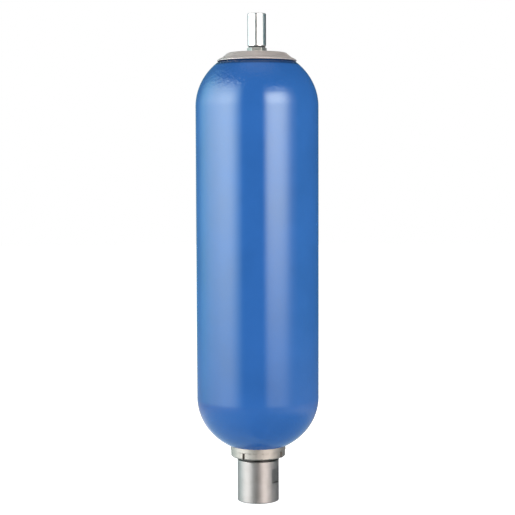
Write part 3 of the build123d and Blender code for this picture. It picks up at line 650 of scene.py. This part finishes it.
# ---------------------------------------------------------------- operators
class ACCUMULATOR_OT_shell(bpy.types.Operator):
    """Makes the enamelled pressure vessel"""

    bl_idname = "accumulator.shell"
    bl_label = "Shell"

    def execute(self, context):
        s = context.scene.vessel_settings
        radius, low, high = reach_of("shell")
        inner = radius - s.wall
        crown_edge = radius * sqrt(1 - ((high - s.straight_high) / s.crown_rise) ** 2)
        base_edge = radius * sqrt(1 - ((s.straight_low - low) / s.base_drop) ** 2)
        # flat seats are machined inside both openings
        stem_seat, stem_seat_radius = high - 23.5 * MM, 31 * MM
        port_seat, port_seat_radius = low + 24 * MM, 59 * MM
        outside_steps, inside_steps = 48, 20
        hold = 2 * MM  # points beside the seams keep the straight wall's shading true
        broken = 0.8 * MM
        corners = [(base_edge, low, broken)]
        corners += ellipse(s.straight_low, radius, -s.base_drop, base_edge, radius, outside_steps)[1:]
        corners += [(radius, s.straight_low + hold, 0), (radius, s.straight_high - hold, 0)]
        corners += ellipse(s.straight_high, radius, s.crown_rise, radius, crown_edge, outside_steps)[:-1]
        corners += [(crown_edge, high, broken), (s.stem_hole, high, 0)]
        corners += [(s.stem_hole, stem_seat, 0), (stem_seat_radius, stem_seat, 0)]
        corners += ellipse(s.straight_high, inner, s.inner_rise, stem_seat_radius, inner, inside_steps)
        corners += ellipse(s.straight_low, inner, -s.inner_drop, inner, port_seat_radius, inside_steps)
        corners += [(port_seat_radius, port_seat, 0), (s.port_hole, port_seat, 0)]
        corners.append((s.port_hole, low, 0.5 * MM))
        made = lathe("enamelled_shell", corners, enamel_material(s))
        place(made, "shell")
        return {"FINISHED"}


class ACCUMULATOR_OT_crown_plate(bpy.types.Operator):
    """Makes the pressed plate under the nut"""

    bl_idname = "accumulator.crown_plate"
    bl_label = "Crown plate"

    def execute(self, context):
        s = context.scene.crown_settings
        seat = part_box("shell")[1].z
        # underside, from the hole past the shoulder, the flank's foot and the brim's bend to the lip
        under = [
            (11.4 * MM, 0, 0),
            (52.5 * MM, 0, 9 * MM),
            (62.3 * MM, -8.6 * MM, 4 * MM),
            (67.8 * MM, -11 * MM, 3 * MM),
            (72.4 * MM, -14.1 * MM, 0),
        ]
        path = [Vector(p) for p in rounded(under, closed=False, steps=10)]
        # the sheet's top face lies one thickness outside its underside
        upper = []
        for i, point in enumerate(path):
            ahead = path[min(i + 1, len(path) - 1)] - path[max(i - 1, 0)]
            upper.append(point + Vector((-ahead.y, ahead.x)).normalized() * s.plate)
        lip, hole_edge = 0.8 * MM, 0.3 * MM
        fillets = [0] * (len(path) - 1) + [lip, lip] + [0] * (len(path) - 2) + [hole_edge]
        outline = [(p.x, p.y + seat, fillet) for p, fillet in zip(path + upper[::-1], fillets)]
        made = lathe("pressed_crown_plate", outline, stock("pressed_stainless"))
        place(made, "crown_plate")
        return {"FINISHED"}


class ACCUMULATOR_OT_stem_nut(bpy.types.Operator):
    """Makes the chamfered hexagon nut on the gas stem"""

    bl_idname = "accumulator.stem_nut"
    bl_label = "Stem nut"

    def execute(self, context):
        s = context.scene.crown_settings
        low, high = (corner.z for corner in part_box("stem_lock_nut"))
        corner, crown = s.nut_flats / sqrt(3), 0.48 * s.nut_flats
        slope = tan(radians(30))  # of the chamfer
        # the turned blank stands a little proud of the hexagon's corners
        blank = corner + MM
        bevel = (blank - crown) * slope
        thread_edge, crown_edge = 0.4 * MM, 0.3 * MM
        corners = [
            (STEM_BORE, low, thread_edge), (crown, low, crown_edge), (blank, low + bevel, 0),
            (blank, high - bevel, 0), (crown, high, crown_edge), (STEM_BORE, high, thread_edge),
        ]
        made = lathe("stem_nut", corners, steps=SMALL_STEPS)
        hexagon = []
        for k in range(6):
            # a small round on each upright edge
            for off in (-2.2, -0.8, 0.8, 2.2):
                a = radians(60 * k + off)
                reach = min(corner - 0.35 * MM, s.nut_flats / 2 / cos(radians(30 - abs(off))))
                hexagon.append((reach * cos(a), reach * sin(a)))
        combine(made, prism("hexagon", hexagon, low - MM, high + MM), "INTERSECT")
        made.data.materials.clear()
        made.data.materials.append(stock("zinc_plated_steel"))
        place(made, "stem_lock_nut")
        return {"FINISHED"}


class ACCUMULATOR_OT_cap(bpy.types.Operator):
    """Makes the protective cap over the charging valve and the seal ring under it"""

    bl_idname = "accumulator.cap"
    bl_label = "Protective cap"

    def execute(self, context):
        radius, low, high = reach_of("protective_cap")
        roof = high - 5 * MM
        hollow, thread_top = 13.5 * MM, 858 * MM
        chamfer, edge, soft_edge = MM, 0.3 * MM, 0.4 * MM
        corners = [
            (0, high, 0), (0, roof, 0), (hollow, roof, 0.6 * MM), (hollow, thread_top, 0),
            (STEM_BORE, thread_top, edge), (STEM_BORE, low, soft_edge), (radius - chamfer, low, edge),
            (radius, low + chamfer, edge), (radius, high - chamfer, soft_edge),
            (radius - chamfer, high, soft_edge),
        ]
        made = lathe("protective_cap_turned", corners, stock("nickel_plated_steel"), SMALL_STEPS)
        place(made, "protective_cap")
        # the seal ring under the cap: black rubber, which also stands in for the shade between the cap and
        # the nut
        radius, low, high = reach_of("cap_seal_ring")
        hole, bead = 11.4 * MM, 0.5 * MM
        corners = [(hole, low, 0), (radius, low, bead), (radius, high, bead), (hole, high, 0)]
        made = lathe("cap_seal", corners, stock("nitrile_rubber"), steps=96)
        place(made, "cap_seal_ring")
        return {"FINISHED"}


class ACCUMULATOR_OT_rings(bpy.types.Operator):
    """Makes the spacer ring and the slotted ring nut round the port's neck"""

    bl_idname = "accumulator.rings"
    bl_label = "Rings"

    def execute(self, context):
        s = context.scene.port_settings
        steel = stock("bright_turned_steel")
        radius, low, top = reach_of("spacer_ring")
        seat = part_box("shell")[0].z
        hole, spigot = 40.3 * MM, 45.7 * MM
        edge = 0.6 * MM
        corners = [
            (hole, low, 0), (radius, low, edge), (radius, seat, edge),
            (spigot, seat, 0), (spigot, top, 0), (hole, top, 0),
        ]
        made = lathe("spacer_ring_turned", corners, steel)
        place(made, "spacer_ring")
        radius, low, high = reach_of("ring_nut")
        thread_bore, chamfer = 40.05 * MM, 2 * MM
        corners = [
            (thread_bore, low, 0), (radius - chamfer, low, 0.4 * MM), (radius, low + chamfer, 0.5 * MM),
            (radius, high, edge), (thread_bore, high, 0),
        ]
        made = lathe("ring_nut_turned", corners, steel)
        sizes = {
            "Count": s.slots,
            "Circle Radius": radius,
            "First Angle": s.slot_angle,
            "Middle Height": (low + high) / 2,
            "Cut Radial": 2 * s.slot_depth,
            "Cut Across": s.slot_width,
            "Cut Height": high - low + 2 * MM,
            "Steel": steel,
        }
        grow(made, cuts_in_a_circle("spanner_slots", "slot"), sizes)
        place(made, "ring_nut")
        return {"FINISHED"}


class ACCUMULATOR_OT_port_body(bpy.types.Operator):
    """Makes the fluid port: threaded mouth, guide web with flow holes, neck, flats and bleed recess"""

    bl_idname = "accumulator.port_body"
    bl_label = "Port body"

    def execute(self, context):
        s = context.scene.port_settings
        steel = stock("oiled_turned_steel")
        low, high = (corner.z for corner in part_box("port_body"))
        radius, neck, neck_thread, collar = 38.5 * MM, 36 * MM, 40 * MM, 45 * MM
        shoulder, groove_top = 77 * MM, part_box("ring_nut")[0].z + 0.5 * MM
        collar_low, poppet_seat_low = high - 12 * MM, high - 5 * MM
        poppet_seat, throat = 33 * MM, 28 * MM
        web_low, web_high, guide_top = 64 * MM, 78 * MM, 92 * MM
        guide, guide_bore, bore = 12 * MM, 9 * MM, 27 * MM
        # the thread runs out into a relief, whose floor is at thread_end
        mouth, thread_end, relief = s.crest + 2 * MM, 36 * MM, 30 * MM
        turned = [
            (mouth, low, 0), (radius, low, 1.6 * MM), (radius, shoulder, 0.9 * MM),
            (neck, shoulder, 0.8 * MM), (neck, groove_top, 0.5 * MM), (neck_thread, groove_top, 0.6 * MM),
            (neck_thread, collar_low, 0.5 * MM), (collar, collar_low, 0.5 * MM), (collar, high, 1.2 * MM),
            (poppet_seat, high, 0.3 * MM), (throat, poppet_seat_low, 0.3 * MM), (throat, web_high, 1 * MM),
            (guide, web_high, 1 * MM), (guide, guide_top, 0.6 * MM), (guide_bore, guide_top, 0),
            (guide_bore, web_low, 0.5 * MM), (bore, web_low, 1 * MM), (bore, thread_end + 7 * MM, 0.5 * MM),
            (relief, thread_end + 4 * MM, 0.8 * MM), (relief, thread_end, 0),
        ]
        mesh = bmesh.new()
        turn(mesh, rounded(turned, closed=False), FINE_STEPS, closed=False)
        thread(mesh, low, thread_end, s.crest, s.depth, s.pitch, mouth, relief)
        made = piece("port_body_turned", mesh, steel)
        # two opposite spanner flats
        near, far = s.flats / 2, radius + 5 * MM
        for side in (0, pi):
            facing = Matrix.Rotation(s.flat_angle + side, 3, "Z")
            corners = [
                tuple((facing @ Vector((x, y, 0)))[:2])
                for x, y in ((near, -far), (far, -far), (far, far), (near, far))
            ]
            combine(made, prism("flat", corners, FLAT_LOW, FLAT_HIGH))
        # bleed recess, its thread and its hole, drilled square to the flat that faces away: each drill's
        # radius, and how far from the axis it stops and starts
        bleed_height = 49 * MM
        axis = Matrix.Rotation(s.flat_angle + pi, 4, "Z") @ Matrix.Rotation(pi / 2, 4, "Y")
        bleed = Matrix.Translation((0, 0, bleed_height)) @ axis
        for hole, near, far in ((7, 34, 37), (4, 28, 35), (1.5, 25, 30)):
            drill = bmesh.new()
            corners = ((0, near), (hole, near), (hole, far), (0, far))
            turn(drill, [(across * MM, along * MM) for across, along in corners], 64)
            drill.transform(bleed)
            combine(made, piece("drill", drill))
        sizes = {
            "Count": s.flow_holes,
            "Circle Radius": 21.5 * MM,
            "First Angle": 0.0,
            "Middle Height": (web_low + web_high) / 2,
            "Cut Across": 10 * MM,
            "Cut Height": web_high - web_low + 2 * MM,
            "Steel": steel,
        }
        grow(made, cuts_in_a_circle("flow_holes", "hole"), sizes)
        place(made, "port_body")
        return {"FINISHED"}


def thread(mesh, low, high, crest, depth, pitch, mouth, relief):
    """Cuts a female thread as rows that climb with the helix, from the bevelled mouth up to the relief."""
    per_turn = 10
    count = per_turn * (int((high - low) / pitch) + 2)
    root, flank = 0.14, 0.72  # shares of half a pitch: the flat at the root, and the flank up to the crest

    def spot(row, k):
        lead = k / FINE_STEPS
        height = min(high, max(low, low + pitch * (row / per_turn + lead - 1)))
        phase = ((height - low) / pitch - lead) % 1
        away = min(1.0, max(0.0, (abs(2 * phase - 1) - root) / flank))
        cut = depth * (1 - away * away * (3 - 2 * away))
        radius = max(mouth - (height - low), crest + cut)
        return mesh.verts.new((radius * cos(tau * lead), radius * sin(tau * lead), height))

    rows = [[spot(row, k) for k in range(FINE_STEPS)] for row in range(count + 1)]
    # a row that has gone once round meets the row one turn further on
    rows = [row + [rows[min(i + per_turn, count)][0]] for i, row in enumerate(rows)]
    for low_row, high_row in zip(rows, rows[1:]):
        for k in range(FINE_STEPS):
            corners = (low_row[k], low_row[k + 1], high_row[k + 1], high_row[k])
            mesh.faces.new(list(dict.fromkeys(corners)))
    skin(mesh, [rows[-1][:-1], ring(mesh, relief, high, FINE_STEPS)], FINE_STEPS)


class ACCUMULATOR_OT_springs(bpy.types.Operator):
    """Winds the poppet's spring and the valve core's spring"""

    bl_idname = "accumulator.springs"
    bl_label = "Springs"

    def execute(self, context):
        tree = coil_tree()
        for name, node, wire, turns, joint in (
            ("poppet_spring_wound", "poppet_spring", 1.6 * MM, 6.0, "poppet_lift"),
            ("core_spring_wound", "valve_core_spring", 0.35 * MM, 4.0, "valve_core_press"),
        ):
            low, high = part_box(node)
            made = bpy.data.objects.new(name, bpy.data.meshes.new(name))
            context.scene.collection.objects.link(made)
            sizes = {
                "Mean Radius": high.x - wire,
                "Wire Radius": wire,
                "Low": low.z,
                "High": high.z,
                "Open Turns": turns,
                "Closed Turns": 1.0,
                "Steps": 420,
                "Steel": stock("tempered_wire"),
            }
            grow(made, tree, sizes)
            place(made, node)
            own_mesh(made)
        return {"FINISHED"}


class ACCUMULATOR_OT_finishes(bpy.types.Operator):
    """Gives the carried-over CAD pieces their finishes"""

    bl_idname = "accumulator.finishes"
    bl_label = "Finishes of inner pieces"

    def execute(self, context):
        finish_of = {
            "plain_steel": "machined_steel",
            "brass": "turned_brass",
            "bronze": "sintered_bronze",
            "bag_rubber": "nitrile_rubber",
            "seal_rubber": "nitrile_rubber",
            "backup_plastic": "fluoropolymer",
        }
        slots = {part["node"]: part["material_slot"] for part in frame["record"]["subparts"]}
        for node, made in frame["nodes"].items():
            if made.hide_render:
                continue
            material = stock(finish_of[slots[node]])
            if not made.material_slots:
                made.data.materials.append(material)
            for held in made.material_slots:
                held.material = material
        return {"FINISHED"}


# shares by bearing of the pale walls: left, front and right, up to the bearings where they differ by height
WALLS = (
    (-180, 0.5), (-150, 0.4), (-120, 0.35), (-60, 0.3), (-36, 0.2), (-20, 0.1), (12, 0.1), (30, 0.3),
    (66, 0.5),
)
# what reflections show of the studio, as lit areas: level, colour, and shares by bearing and by elevation in
# degrees
LIT_AREAS = (
    # left softbox: wide, and its light falls off slowly outwards and upwards
    (
        9.3,
        (1.0, 0.99, 0.98),
        [
            (-152, 0), (-134, 0.02), (-120, 0.1), (-108, 0.25), (-96, 0.48), (-84, 0.69), (-70, 0.92),
            (-58, 1), (-50, 0.95), (-42, 0.64), (-35, 0.28), (-28, 0.03), (-24, 0),
        ],
        [
            (-22, 0), (-15, 0.08), (-8, 0.32), (-2, 0.64), (5, 0.95), (12, 0.98), (20, 0.88),
            (26, 0.74), (32, 0.52), (40, 0.27), (48, 0.08), (58, 0),
        ],
    ),
    # right softbox: narrower, with a hard inner edge
    (
        12.6,
        (1.0, 0.98, 0.92),
        [
            (10, 0), (14, 0.25), (19, 0.72), (24, 0.95), (32, 1), (42, 0.97), (50, 0.84), (56, 0.6),
            (62, 0.32), (70, 0.1), (82, 0),
        ],
        [
            (-18, 0), (-13, 0.03), (-8, 0.16), (-2, 0.52), (6, 0.9), (14, 1), (20, 0.92), (25, 0.66),
            (29, 0.28), (34, 0.06), (39, 0),
        ],
    ),
    # a cool glow round the left softbox
    (
        1.2,
        (0.3, 1.0, 1.0),
        [(-144, 0), (-130, 0.6), (-118, 1.3), (-98, 1.4), (-84, 1.1), (-36, 1), (-26, 0)],
        [(-13, 0), (-6, 0.6), (6, 0.9), (14, 1), (26, 1), (38, 0.4), (46, 0)],
    ),
    # foot of the pale walls, darker in front and on the right
    (
        1.0,
        (0.95, 0.97, 1.0),
        [*WALLS, (88, 0.62), (104, 0.5), (120, 0.32), (140, 0.2), (164, 0.15), (180, 0.5)],
        [(-30, 0), (-20, 1.8), (-12, 1.5), (-6, 0)],
    ),
    # the same walls higher up, cooler
    (
        1.0,
        (0.4, 0.88, 1.0),
        [*WALLS, (88, 0.56), (104, 0.42), (120, 0.26), (140, 0.16), (164, 0.15), (180, 0.5)],
        [(-12, 0), (-6, 1.05), (0, 0.8), (16, 0.6), (40, 0.4), (62, 0.3), (74, 0)],
    ),
    # pale floor
    (
        0.9,
        (0.75, 1.0, 1.05),
        [
            (-180, 0.8), (-132, 1), (-84, 1), (-48, 0.7), (-12, 0.25), (12, 0.25), (36, 0.45),
            (84, 0.4), (108, 0.5), (144, 0.6), (180, 0.8),
        ],
        [(-90, 0.8), (-56, 0.8), (-30, 1), (-14, 0)],
    ),
    # ceiling
    (0.6, (1.0, 0.98, 0.96), [(-180, 1), (180, 1)], [(50, 0), (64, 0.12), (74, 0.8), (90, 1)]),
)


class ACCUMULATOR_OT_studio(bpy.types.Operator):
    """Sets up the floor, the light and the camera"""

    bl_idname = "accumulator.studio"
    bl_label = "Studio"

    def execute(self, context):
        s = context.scene.studio_settings
        self.floor()
        self.world(context, s)
        self.lamps(context, s)
        data = bpy.data.cameras.new("camera")
        data.lens, data.sensor_width = s.lens, 36
        data.clip_start, data.clip_end = 0.05, 100
        camera = bpy.data.objects.new("camera", data)
        context.scene.collection.objects.link(camera)
        turned = Matrix.Rotation(pi / 2 - s.pitch, 4, "X") @ Matrix.Rotation(s.roll, 4, "Z")
        camera.matrix_world = Matrix.Translation((0, -s.distance, s.height)) @ turned
        context.scene.camera = camera
        context.scene.view_settings.view_transform = "Standard"
        return {"FINISHED"}

    def lamps(self, context, s):
        """Four large soft lamps round the object. Their reflections are in the world, with the studio's dark
        gaps, so glossy rays don't see them."""
        middle = Vector((0, 0, 0.45))
        # name, bearing from the camera's side towards +X, elevation, width, height, share of the main lamp
        for name, bearing, rise, wide, tall, part in (
            ("key_lamp", 38, 24, 1.0, 1.4, 1.0),
            ("fill_lamp", -62, 18, 1.4, 1.6, 0.9),
            ("rear_lamp_right", 140, 28, 1.2, 1.4, 0.6),
            ("rear_lamp_left", -142, 28, 1.2, 1.4, 0.6),
        ):
            data = bpy.data.lights.new(name, "AREA")
            data.shape, data.size, data.size_y = "RECTANGLE", wide, tall
            data.energy = s.lamps * part
            lamp = bpy.data.objects.new(name, data)
            context.scene.collection.objects.link(lamp)
            a, e = radians(bearing), radians(rise)
            away = Vector((sin(a) * cos(e), -cos(a) * cos(e), sin(e)))
            lamp.location = middle + away * 2.2
            lamp.rotation_euler = away.to_track_quat("Z", "Y").to_euler()
            lamp.visible_glossy = False

    def floor(self):
        """A wide pale disc that fades into the white surround but keeps the object's shadow. Seen from below
        it is clear, so that the port's underside can be looked at."""
        mesh = bmesh.new()
        wide, thick = 9.0, 0.02
        turn(mesh, [(0, -thick), (wide, -thick), (wide, 0), (0, 0)], 96)
        made = piece("studio_floor", mesh)
        material, tree = new_material("white_floor")
        paths = add(tree, "ShaderNodeLightPath").outputs
        rays = {0: paths["Is Camera Ray"], 1: paths["Is Transmission Ray"]}
        seen = add(tree, "ShaderNodeMath", rays, operation="MAXIMUM")
        level = add(tree, "ShaderNodeMapRange", {"Value": seen, "To Min": 0.12, "To Max": 0.75})
        glow = add(tree, "ShaderNodeEmission", {"Color": (1, 1, 1, 1), "Strength": level})
        base = add(tree, "ShaderNodeBsdfDiffuse", {"Color": (0.8, 0.8, 0.8, 1)})
        above = add(tree, "ShaderNodeAddShader", {0: base, 1: glow})
        facing = add(tree, "ShaderNodeNewGeometry").outputs["Normal"]
        upward = add(tree, "ShaderNodeSeparateXYZ", {0: facing}).outputs[2]
        below = add(tree, "ShaderNodeMath", {0: upward, 1: 0.0}, operation="LESS_THAN")
        clear = add(tree, "ShaderNodeBsdfTransparent")
        surface = add(tree, "ShaderNodeMixShader", {0: below, 1: above, 2: clear})
        add(tree, "ShaderNodeOutputMaterial", {"Surface": surface})
        made.data.materials.append(material)
        made.visible_glossy = False

    def world(self, context, s):
        """White for the camera, an even level for diffuse light, and the lit areas for reflections and for
        what is seen through clear things."""
        world = bpy.data.worlds.new("studio")
        context.scene.world = world
        world.use_nodes = True
        world.cycles.sampling_method = "NONE"
        tree = world.node_tree
        tree.nodes.clear()
        way = add(tree, "ShaderNodeTexCoord").outputs["Generated"]
        axes = add(tree, "ShaderNodeSeparateXYZ", {0: way}).outputs
        front = add(tree, "ShaderNodeMath", {0: axes[1], 1: -1.0}, operation="MULTIPLY")
        bearing = add(tree, "ShaderNodeMath", {0: axes[0], 1: front}, operation="ARCTAN2")
        rise = add(tree, "ShaderNodeMath", {0: axes[2]}, operation="ARCSINE")
        around, upward = (
            add(tree, "ShaderNodeMapRange", {"Value": direction, "From Min": -limit, "From Max": limit})
            for direction, limit in ((bearing, pi), (rise, pi / 2))
        )
        studio = (0, 0, 0)
        for level, tint, bearings, rises in LIT_AREAS:
            shares = []
            for direction, whole, stops in ((around, 360, bearings), (upward, 180, rises)):
                ramp = add(tree, "ShaderNodeValToRGB", {0: direction})
                elements = ramp.color_ramp.elements
                elements.remove(elements[-1])
                for i, (degrees, part) in enumerate(stops):
                    at = degrees / whole + 0.5
                    element = elements[0] if i == 0 else elements.new(at)
                    element.position = at
                    element.color = (part, part, part, 1)
                shares.append(ramp)
            both = add(tree, "ShaderNodeMath", dict(enumerate(shares)), operation="MULTIPLY")
            full = [level * part for part in tint]
            area = add(tree, "ShaderNodeVectorMath", {0: full, "Scale": both}, operation="SCALE")
            studio = add(tree, "ShaderNodeVectorMath", {0: studio, 1: area}, operation="ADD")
        paths = add(tree, "ShaderNodeLightPath").outputs
        rays = {0: paths["Is Glossy Ray"], 1: paths["Is Transmission Ray"]}
        mirrored = add(tree, "ShaderNodeMath", rays, operation="MAXIMUM")
        even = [s.ambient] * 3 + [1]
        unseen = add(tree, "ShaderNodeMix", {0: mirrored, MIX_A: even, MIX_B: studio}, data_type="RGBA")
        camera_ray, white = paths["Is Camera Ray"], (1, 1, 1, 1)
        shown = add(tree, "ShaderNodeMix", {0: camera_ray, MIX_A: unseen, MIX_B: white}, data_type="RGBA")
        back = add(tree, "ShaderNodeBackground", {"Color": shown})
        add(tree, "ShaderNodeOutputWorld", {"Surface": back})


class ACCUMULATOR_PT_panel(bpy.types.Panel):
    """Lists the accumulator's operators"""

    bl_idname = "ACCUMULATOR_PT_panel"
    bl_label = "Bladder accumulator"
    bl_space_type = "VIEW_3D"
    bl_region_type = "UI"
    bl_category = "Accumulator"

    def draw(self, context):
        for operator in OPERATORS:
            self.layout.operator(operator.bl_idname)


SETTINGS = {
    "vessel_settings": VesselSettings,
    "crown_settings": CrownSettings,
    "port_settings": PortSettings,
    "studio_settings": StudioSettings,
}
OPERATORS = (
    ACCUMULATOR_OT_shell,
    ACCUMULATOR_OT_crown_plate,
    ACCUMULATOR_OT_stem_nut,
    ACCUMULATOR_OT_cap,
    ACCUMULATOR_OT_rings,
    ACCUMULATOR_OT_port_body,
    ACCUMULATOR_OT_springs,
    ACCUMULATOR_OT_finishes,
    ACCUMULATOR_OT_studio,
)
CLASSES = (*SETTINGS.values(), *OPERATORS, ACCUMULATOR_PT_panel)


def register():
    """Registers the settings, operators and panel."""
    for cls in CLASSES:
        bpy.utils.register_class(cls)
    for name, cls in SETTINGS.items():
        setattr(bpy.types.Scene, name, PointerProperty(type=cls))


def unregister():
    """Takes them away again."""
    for name in SETTINGS:
        delattr(bpy.types.Scene, name)
    for cls in reversed(CLASSES):
        bpy.utils.unregister_class(cls)


def main():
    register()
    for operator in OPERATORS:
        group, name = operator.bl_idname.split(".")
        getattr(getattr(bpy.ops, group), name)()


if __name__ == "__main__":
    main()
